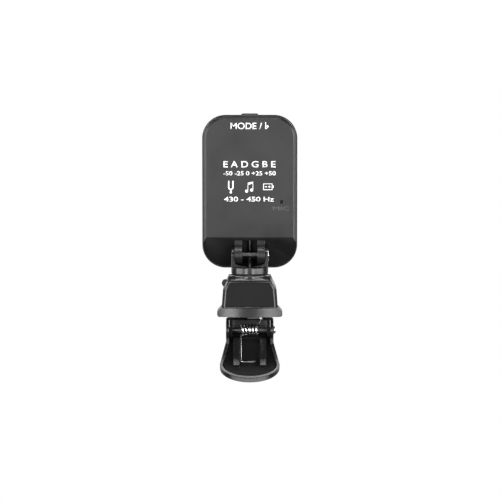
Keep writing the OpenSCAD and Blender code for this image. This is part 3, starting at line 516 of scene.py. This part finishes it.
def on_rear(piece, x_mm, z_mm):
    """Lays a flat piece, drawn in X and Y, on the rear face."""
    piece.rotation_euler = (math.pi / 2, 0, 0)
    piece.location = (x_mm * MM, rear_y + INK_SUNK, z_mm * MM)


def on_lcd(piece, x_mm, z_mm):
    """Lays a flat piece on the liquid crystal panel, to be read from the display side."""
    piece.rotation_euler = (math.pi / 2, 0, math.pi)
    piece.location = (-x_mm * MM, lcd_high.y - INK_SUNK, z_mm * MM)


def filled(name, curve):
    """Flat mesh of a curve's or a text's filled outlines."""
    drawn = linked(name, curve)
    bpy.context.view_layer.update()
    depsgraph = bpy.context.evaluated_depsgraph_get()
    mesh = bpy.data.meshes.new_from_object(drawn.evaluated_get(depsgraph))
    bpy.data.objects.remove(drawn)
    return mesh


def printed(name, text, width_mm, height_mm, x_mm, z_mm,
            heavy=0.012, lay=on_rear, material=WHITE_INK):
    """Line of text that fills the given width and capital height."""
    curve = bpy.data.curves.new(name, "FONT")
    curve.body = text
    curve.align_x = "CENTER"
    curve.align_y = "BOTTOM_BASELINE"
    curve.offset = heavy
    curve.extrude = 0
    mesh = filled(name, curve)
    xs = [v.co.x for v in mesh.vertices]
    ys = [v.co.y for v in mesh.vertices]
    scale_x = width_mm * MM / (max(xs) - min(xs))
    scale_y = height_mm * MM / max(ys)
    middle = (max(xs) + min(xs)) / 2
    for v in mesh.vertices:
        v.co = Vector(((v.co.x - middle) * scale_x, v.co.y * scale_y, 0))
    thicken(mesh)
    piece = linked(name, mesh)
    lay(piece, x_mm, z_mm)
    return finished(piece, "head", material)


def thicken(mesh):
    """Turns a flat mesh into a film of ink with a back and edges."""
    bm = bmesh.new()
    bm.from_mesh(mesh)
    bmesh.ops.remove_doubles(bm, verts=bm.verts, dist=1e-7)
    made = bmesh.ops.extrude_face_region(bm, geom=bm.faces[:])
    moved = [g for g in made["geom"] if isinstance(g, bmesh.types.BMVert)]
    bmesh.ops.translate(bm, verts=moved, vec=(0, 0, INK_T))
    bmesh.ops.recalc_face_normals(bm, faces=bm.faces)
    bm.to_mesh(mesh)
    bm.free()


def outline_mesh(name, loops):
    """Flat mesh of filled outlines, in millimetres."""
    curve = bpy.data.curves.new(name, "CURVE")
    curve.dimensions = "2D"
    curve.fill_mode = "BOTH"
    for loop in loops:
        spline = curve.splines.new("POLY")
        spline.points.add(len(loop) - 1)
        for point, (x, y) in zip(spline.points, loop):
            point.co = (x * MM, y * MM, 0, 1)
        spline.use_cyclic_u = True
    mesh = filled(name, curve)
    thicken(mesh)
    return linked(name, mesh)


def arc(cx, cy, r, a0, a1, steps=24):
    """Points of an arc from angle a0 to a1, in degrees."""
    angles = [math.radians(a0 + (a1 - a0) / steps * i) for i in range(steps + 1)]
    return [(cx + r * math.cos(a), cy + r * math.sin(a)) for a in angles]


def flat_sign():
    """Music's flat sign: a stem and a bowl."""
    stem = [(-0.5, 0), (-0.18, 0), (-0.18, 2.75), (-0.5, 2.75)]
    bowl = [(-0.18, 0.0), (0.55, 0.5), (0.85, 0.95), (0.75, 1.35), (0.35, 1.5), (-0.18, 1.2),
            (-0.18, 0.95), (0.2, 1.15), (0.4, 1.0), (0.35, 0.8), (0.1, 0.5), (-0.18, 0.3)]
    return [stem], [bowl]


def tuning_fork():
    """Two tines, a bow and a stem with a ball foot."""
    t, w, top, bow = 0.5, 1.1, 2.4, -0.2
    outer = [(-w, top)] + arc(0, bow, w, 180, 270 - 14) + [(-t / 2, -1.9)]
    foot = arc(0, -2.25, 0.45, 125, 415)
    right = [(-x, y) for x, y in reversed(outer)]
    inner = arc(0, bow, w - t, 360, 180)
    return [outer + foot + right + [(w - t, top)] + inner + [(-(w - t), top)]]


def eighth_notes():
    """Two notes joined by a beam."""
    head_a = arc(-1.05, -1.75, 0.62, 0, 345)
    head_b = arc(0.95, -1.3, 0.62, 0, 345)
    beam = [(-0.65, 1.55), (1.57, 2.1), (1.57, 1.3), (-0.65, 0.75)]
    stem_a = [(-0.65, -1.75), (-0.43, -1.75), (-0.43, 1.2), (-0.65, 1.2)]
    stem_b = [(1.35, -1.3), (1.57, -1.3), (1.57, 1.6), (1.35, 1.6)]
    return [head_a], [head_b], [beam], [stem_a], [stem_b]


def battery_mark():
    """Outline of a cell with plus and minus signs."""
    body = [(-2, -1.3), (1.7, -1.3), (1.7, 1.3), (-2, 1.3)]
    hole = [(-1.75, -1.05), (1.45, -1.05), (1.45, 1.05), (-1.75, 1.05)]
    nub = [(1.7, -0.5), (2.15, -0.5), (2.15, 0.5), (1.7, 0.5)]
    minus = [(-1.35, -0.14), (-0.45, -0.14), (-0.45, 0.14), (-1.35, 0.14)]
    plus = [(0.0, -0.14), (0.31, -0.14), (0.31, -0.45), (0.59, -0.45), (0.59, -0.14), (0.9, -0.14),
            (0.9, 0.14), (0.59, 0.14), (0.59, 0.45), (0.31, 0.45), (0.31, 0.14), (0.0, 0.14)]
    return [body, hole], [nub], [minus], [plus]


def marks(name, parts, x_mm, z_mm, lay=on_rear, material=WHITE_INK):
    """Printed sign made of several filled outlines."""
    for i, loops in enumerate(parts):
        mark = outline_mesh(f"print_{name}_{i}", loops)
        lay(mark, x_mm, z_mm)
        finished(mark, "head", material)


def rear_print():
    """Function labels, string letters, dial numbers and music signs."""
    top = head_middle_z / MM
    printed("print_mode", "MODE /", 12.6, 2.5, -1.4, top + 25.2)
    marks("flat", flat_sign(), 6.7, top + 25.2)
    printed("print_strings", "E A D G B E", 20.9, 2.5, -0.1, top + 9.9)
    printed("print_cents", "-50 -25 0 +25 +50", 21.0, 1.65, -0.1, top + 6.7)
    marks("fork", [tuning_fork()], -7.6, top + 2.1)
    marks("notes", eighth_notes(), -0.2, top + 2.1)
    marks("cell", battery_mark(), 7.4, top + 2.1)
    printed("print_range", "430 - 450 Hz", 20.0, 1.9, -0.3, top - 3.8)
    printed("print_mic", "MIC", 6.6, 1.5, 12.6, top - 7.3, 0.0, on_rear, FAINT_INK)


def dial_tick(angle, r0, r1, half_width):
    """One tick of the dial, square to the arc."""
    a = math.radians(angle)
    along, side = Vector((math.cos(a), math.sin(a))), Vector((-math.sin(a), math.cos(a)))
    corners = [along * r0 - side * half_width, along * r1 - side * half_width,
               along * r1 + side * half_width, along * r0 + side * half_width]
    return [(c.x, c.y) for c in corners]


def display_marks():
    """Tuning dial, needle and note letter on the liquid crystal panel."""
    middle = (lcd_low.z + lcd_high.z) / 2 / MM
    dial_z = middle - 5
    ticks = [[dial_tick(40 + 10 * i, 14.2 if i % 5 else 13.2, 16, 0.28 if i % 5 else 0.45)]
             for i in range(11)]
    marks("ticks", ticks, 0, dial_z, on_lcd, SEGMENT_INK)
    marks("needle", [[dial_tick(90, 4.5, 12.6, 0.3)]], 0, dial_z, on_lcd, RED_INK)
    for name, text, width, height, x, z, heavy in (
        ("lcd_50_flat", "-50", 3.4, 1.7, -11.6, 4.4, 0.0),
        ("lcd_0", "0", 1.2, 1.7, 0, 12.6, 0.0),
        ("lcd_50", "+50", 3.4, 1.7, 11.6, 4.4, 0.0),
        ("lcd_note", "A", 7.2, 7.6, 0, -11.2, 0.02),
        ("lcd_hertz", "440 Hz", 7.6, 1.7, 9.4, -14.4, 0.0),
        ("lcd_string", "5", 1.5, 2.2, -11.6, -14.4, 0.0),
    ):
        printed(name, text, width, height, x, middle + z, heavy, on_lcd, SEGMENT_INK)


display_marks()
rear_print()


# ---- Stage, lights and camera ---------------------------------------------------------

CENTRE = Vector((0.0001, -0.020, 0.0325))
DISTANCE = 0.62
ELEVATION = math.radians(4)
FRAME_WIDTH = 0.202
SENSOR_MM = 36
FLOOR_HALF, FLOOR_Z = 3, -0.12

# Azimuth and elevation in degrees round the object, distance, width and height in metres, radiance.
# Azimuth 0 is the camera's side, and positive is to the right.
SOFTBOXES = {
    "front_box": (0, 7, 1.6, 1.0, 0.8, 0.6),
    "left_box": (-66, 10, 0.9, 0.85, 0.7, 6),
    "right_box": (62, 10, 0.9, 0.95, 0.7, 6),
    "left_strip": (-22, -1, 1.0, 0.27, 0.45, 11),
    "right_strip": (22, -1, 1.0, 0.27, 0.45, 11),
    "top_box": (0, 70, 0.9, 0.5, 0.22, 11),
    "low_box": (180, -70, 0.8, 0.6, 0.3, 2.4),
    "display_left_box": (-140, 28, 1.0, 0.6, 0.7, 5),
    "display_right_box": (140, 28, 1.0, 0.6, 0.7, 5),
    "display_box": (180, 35, 1.3, 1.0, 0.5, 1.6),
}


def glow(name, strength):
    material = bpy.data.materials.new(name)
    material.use_nodes = True
    tree = material.node_tree
    tree.nodes.clear()
    light = tree.nodes.new("ShaderNodeEmission")
    light.inputs["Color"].default_value = (1, 1, 1, 1)
    light.inputs["Strength"].default_value = strength
    out = tree.nodes.new("ShaderNodeOutputMaterial")
    tree.links.new(light.outputs["Emission"], out.inputs["Surface"])
    return material


def stage():
    """Pale floor that only the camera sees, so that it neither lights nor shades the object."""
    bm = bmesh.new()
    bmesh.ops.create_grid(bm, x_segments=1, y_segments=1, size=FLOOR_HALF)
    mesh = bpy.data.meshes.new("floor")
    bm.to_mesh(mesh)
    bm.free()
    mesh.materials.append(glow("floor", 1.0))
    floor = linked("floor", mesh)
    floor.location.z = FLOOR_Z
    floor.visible_diffuse = False
    floor.visible_glossy = False
    floor.visible_transmission = False
    floor.visible_volume_scatter = False
    floor.visible_shadow = False


def sky():
    """White to the camera; to everything else a dark studio with a pale wall on the display's side."""
    world = bpy.data.worlds.new("studio")
    bpy.context.scene.world = world
    world.use_nodes = True
    tree = world.node_tree
    background = tree.nodes["Background"]
    place = tree.nodes.new("ShaderNodeTexCoord")
    split = tree.nodes.new("ShaderNodeSeparateXYZ")
    tree.links.new(place.outputs["Generated"], split.inputs["Vector"])
    wall = tree.nodes.new("ShaderNodeMapRange")
    wall.interpolation_type = "SMOOTHSTEP"
    for socket, value in (("From Min", 0.5), ("From Max", 0.95), ("To Min", 0.02), ("To Max", 0.6)):
        wall.inputs[socket].default_value = value
    tree.links.new(split.outputs["Y"], wall.inputs["Value"])
    ray = tree.nodes.new("ShaderNodeLightPath")
    seen = tree.nodes.new("ShaderNodeMix")
    seen.inputs["B"].default_value = 1
    background.inputs["Color"].default_value = (1, 1, 1, 1)
    tree.links.new(ray.outputs["Is Camera Ray"], seen.inputs["Factor"])
    tree.links.new(wall.outputs["Result"], seen.inputs["A"])
    tree.links.new(seen.outputs["Result"], background.inputs["Strength"])


def around(azimuth, elevation, distance):
    a, e = math.radians(azimuth), math.radians(elevation)
    flat = math.cos(e) * distance
    return CENTRE + Vector((math.sin(a) * flat, -math.cos(a) * flat, math.sin(e) * distance))


def softbox(name, place, width, height, radiance):
    """Area light aimed at the object, of a given brightness."""
    data = bpy.data.lights.new(name, "AREA")
    data.shape = "RECTANGLE"
    data.size, data.size_y = width, height
    data.energy = radiance * math.pi * width * height
    light = linked(name, data)
    light.location = place
    light.rotation_euler = (CENTRE - place).to_track_quat("-Z", "Y").to_euler()


def camera():
    data = bpy.data.cameras.new("camera")
    data.sensor_width = SENSOR_MM
    data.lens = SENSOR_MM * DISTANCE / FRAME_WIDTH
    data.clip_start = 0.01
    data.clip_end = 100
    back = Vector((0, -math.cos(ELEVATION), math.sin(ELEVATION)))
    eye = linked("camera", data)
    eye.location = CENTRE + back * DISTANCE
    eye.rotation_euler = (-back).to_track_quat("-Z", "Y").to_euler()
    bpy.context.scene.camera = eye


stage()
sky()
for name, (azimuth, elevation, distance, width, height, radiance) in SOFTBOXES.items():
    softbox(name, around(azimuth, elevation, distance), width, height, radiance)
camera()
bpy.context.scene.view_settings.view_transform = "Standard"
